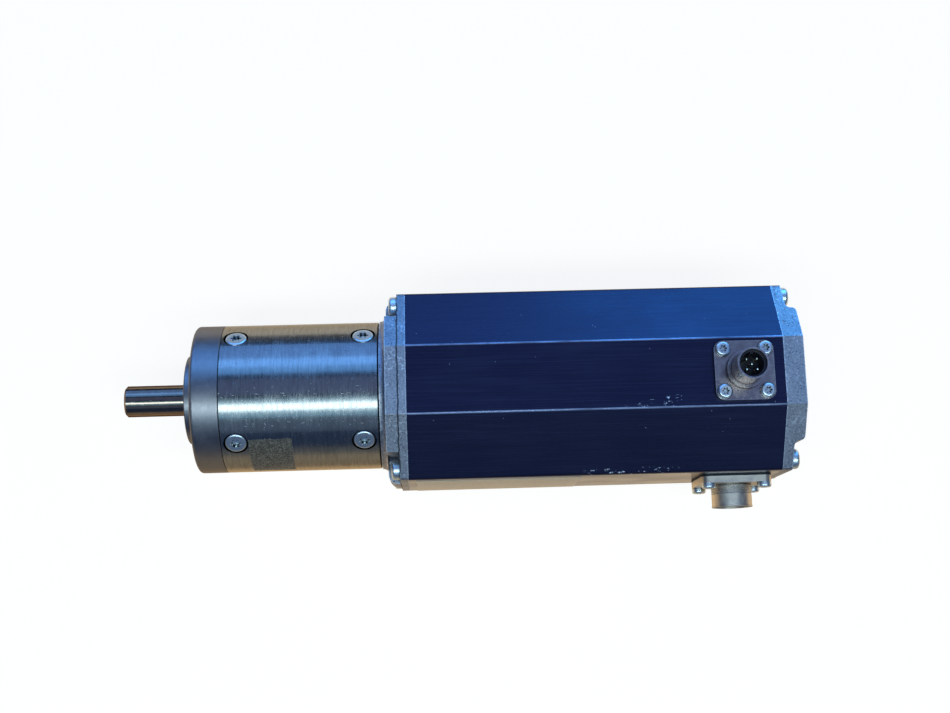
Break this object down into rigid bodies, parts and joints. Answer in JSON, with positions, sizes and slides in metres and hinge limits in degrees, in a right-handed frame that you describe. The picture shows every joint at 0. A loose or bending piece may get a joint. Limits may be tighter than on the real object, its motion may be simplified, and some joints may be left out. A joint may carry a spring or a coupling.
{
  "type": "inline geared servo motor",
  "caption": "Round inline planetary gear reducer with a plain output shaft, bolted to an eight-sided brushless servo motor with a signal socket and a power socket.",
  "frame": {"origin": "centre of the output flange's mounting face, on the shaft axis", "axes": "-X along the output shaft towards its free end, +X towards the rear cover, +Z out of the face with the signal socket, -Y out of the face with the power socket"},
  "size_m": [0.2705, 0.0874, 0.0925],
  "materials": {
    "shaft_steel": "ground and polished",
    "case_steel": "turned and bright, fine rings",
    "flange_steel": "satin, finely turned",
    "cast_aluminium": "as cast, machined where it seats",
    "black_anodised": "black anodised extrusion",
    "screw_steel": "zinc plated",
    "nickel_plate": "nickel plated",
    "contact_gold": "plated",
    "black_plastic": "moulded",
    "seal_rubber": "matt",
    "gear_steel": "hardened and hobbed",
    "bearing_steel": "ground",
    "electrical_steel": "laminated",
    "magnet": "nickel flash",
    "copper": "enamelled copper wire",
    "circuit_board": "populated board",
    "lead_rubber": "sheathed leads",
    "label_film": "blank off-white film"
  },
  "bodies": {
    "root": {"bearing_spacer": "bearing_steel", "bearing_wave_spring": "bearing_steel", "board_standoffs": "bearing_steel", "bore_retaining_ring": "bearing_steel", "controller_board": "circuit_board", "encoder_board": "circuit_board", "front_motor_bearing_outer_ring": "bearing_steel", "front_plate": "cast_aluminium", "front_plate_screws": "screw_steel", "gear_case_screws": "screw_steel", "input_seal": "seal_rubber", "motor_housing": "black_anodised", "output_bearing_outer_rings": "bearing_steel", "output_flange": "flange_steel", "output_flange_screws": "screw_steel", "power_socket_gasket": "seal_rubber", "power_socket_insert": "black_plastic", "power_socket_pins": "contact_gold", "power_socket_screws": "screw_steel", "power_socket_shell": "nickel_plate", "rating_plate": "label_film", "rear_bearing_shield": "cast_aluminium", "rear_cover": "cast_aluminium", "rear_cover_screws": "screw_steel", "rear_motor_bearing_outer_ring": "bearing_steel", "ring_gear": "case_steel", "shaft_seal": "seal_rubber", "signal_socket_gasket": "seal_rubber", "signal_socket_insert": "black_plastic", "signal_socket_pins": "contact_gold", "signal_socket_screws": "screw_steel", "signal_socket_shell": "nickel_plate", "socket_leads": "lead_rubber", "stator_coils": "copper", "stator_core": "electrical_steel"},
    "output_shaft": {"output_shaft": "shaft_steel", "output_planet_pins": "bearing_steel", "output_planet_retainer": "gear_steel", "shaft_retaining_ring": "bearing_steel", "output_bearing_inner_rings": "bearing_steel"},
    "output_planet_1": {"output_planet_1": "gear_steel"},
    "output_planet_2": {"output_planet_2": "gear_steel"},
    "output_planet_3": {"output_planet_3": "gear_steel"},
    "output_bearing_balls": {"output_bearing_balls": "bearing_steel"},
    "input_carrier": {"input_carrier": "gear_steel", "input_planet_pins": "bearing_steel", "input_planet_retainer": "gear_steel"},
    "input_planet_1": {"input_planet_1": "gear_steel"},
    "input_planet_2": {"input_planet_2": "gear_steel"},
    "input_planet_3": {"input_planet_3": "gear_steel"},
    "rotor": {"rotor_shaft": "bearing_steel", "rotor_core": "electrical_steel", "rotor_magnets": "magnet", "encoder_magnet": "magnet", "input_sun": "gear_steel", "front_motor_bearing_inner_ring": "bearing_steel", "rear_motor_bearing_inner_ring": "bearing_steel"},
    "front_motor_bearing_balls": {"front_motor_bearing_balls": "bearing_steel"},
    "rear_motor_bearing_balls": {"rear_motor_bearing_balls": "bearing_steel"}
  },
  "joints": [
    {"name": "rotor_spin", "type": "hinge", "parent": "root", "child": "rotor", "pos_m": [0.13, 0, 0], "axis": [1, 0, 0], "continuous": true},
    {"name": "input_carrier_spin", "type": "hinge", "parent": "root", "child": "input_carrier", "pos_m": [0.0472, 0, 0], "axis": [1, 0, 0], "continuous": true},
    {"name": "output_spin", "type": "hinge", "parent": "root", "child": "output_shaft", "pos_m": [0, 0, 0], "axis": [1, 0, 0], "continuous": true},
    {"name": "input_planet_1_spin", "type": "hinge", "parent": "input_carrier", "child": "input_planet_1", "pos_m": [0.05515, 0.0156, 0], "axis": [1, 0, 0], "continuous": true},
    {"name": "output_planet_1_spin", "type": "hinge", "parent": "output_shaft", "child": "output_planet_1", "pos_m": [0.036, 0.0156, 0], "axis": [1, 0, 0], "continuous": true},
    {"name": "input_planet_2_spin", "type": "hinge", "parent": "input_carrier", "child": "input_planet_2", "pos_m": [0.05515, -0.0078, 0.01351], "axis": [1, 0, 0], "continuous": true},
    {"name": "output_planet_2_spin", "type": "hinge", "parent": "output_shaft", "child": "output_planet_2", "pos_m": [0.036, -0.0078, 0.01351], "axis": [1, 0, 0], "continuous": true},
    {"name": "input_planet_3_spin", "type": "hinge", "parent": "input_carrier", "child": "input_planet_3", "pos_m": [0.05515, -0.0078, -0.01351], "axis": [1, 0, 0], "continuous": true},
    {"name": "output_planet_3_spin", "type": "hinge", "parent": "output_shaft", "child": "output_planet_3", "pos_m": [0.036, -0.0078, -0.01351], "axis": [1, 0, 0], "continuous": true},
    {"name": "output_balls_spin", "type": "hinge", "parent": "root", "child": "output_bearing_balls", "pos_m": [0.0125, 0, 0], "axis": [1, 0, 0], "continuous": true},
    {"name": "front_motor_balls_spin", "type": "hinge", "parent": "root", "child": "front_motor_bearing_balls", "pos_m": [0.082, 0, 0], "axis": [1, 0, 0], "continuous": true},
    {"name": "rear_motor_balls_spin", "type": "hinge", "parent": "root", "child": "rear_motor_bearing_balls", "pos_m": [0.1825, 0, 0], "axis": [1, 0, 0], "continuous": true}
  ],
  "couplings": [
    {"joint": "input_carrier_spin", "follows": "rotor_spin", "ratio": 0.23077},
    {"joint": "output_spin", "follows": "rotor_spin", "ratio": 0.053254},
    {"joint": "input_planet_1_spin", "follows": "rotor_spin", "ratio": -0.65934},
    {"joint": "output_planet_1_spin", "follows": "rotor_spin", "ratio": -0.15216},
    {"joint": "input_planet_2_spin", "follows": "rotor_spin", "ratio": -0.65934},
    {"joint": "output_planet_2_spin", "follows": "rotor_spin", "ratio": -0.15216},
    {"joint": "input_planet_3_spin", "follows": "rotor_spin", "ratio": -0.65934},
    {"joint": "output_planet_3_spin", "follows": "rotor_spin", "ratio": -0.15216},
    {"joint": "output_balls_spin", "follows": "rotor_spin", "ratio": 0.021673},
    {"joint": "front_motor_balls_spin", "follows": "rotor_spin", "ratio": 0.4},
    {"joint": "rear_motor_balls_spin", "follows": "rotor_spin", "ratio": 0.36667}
  ]
}
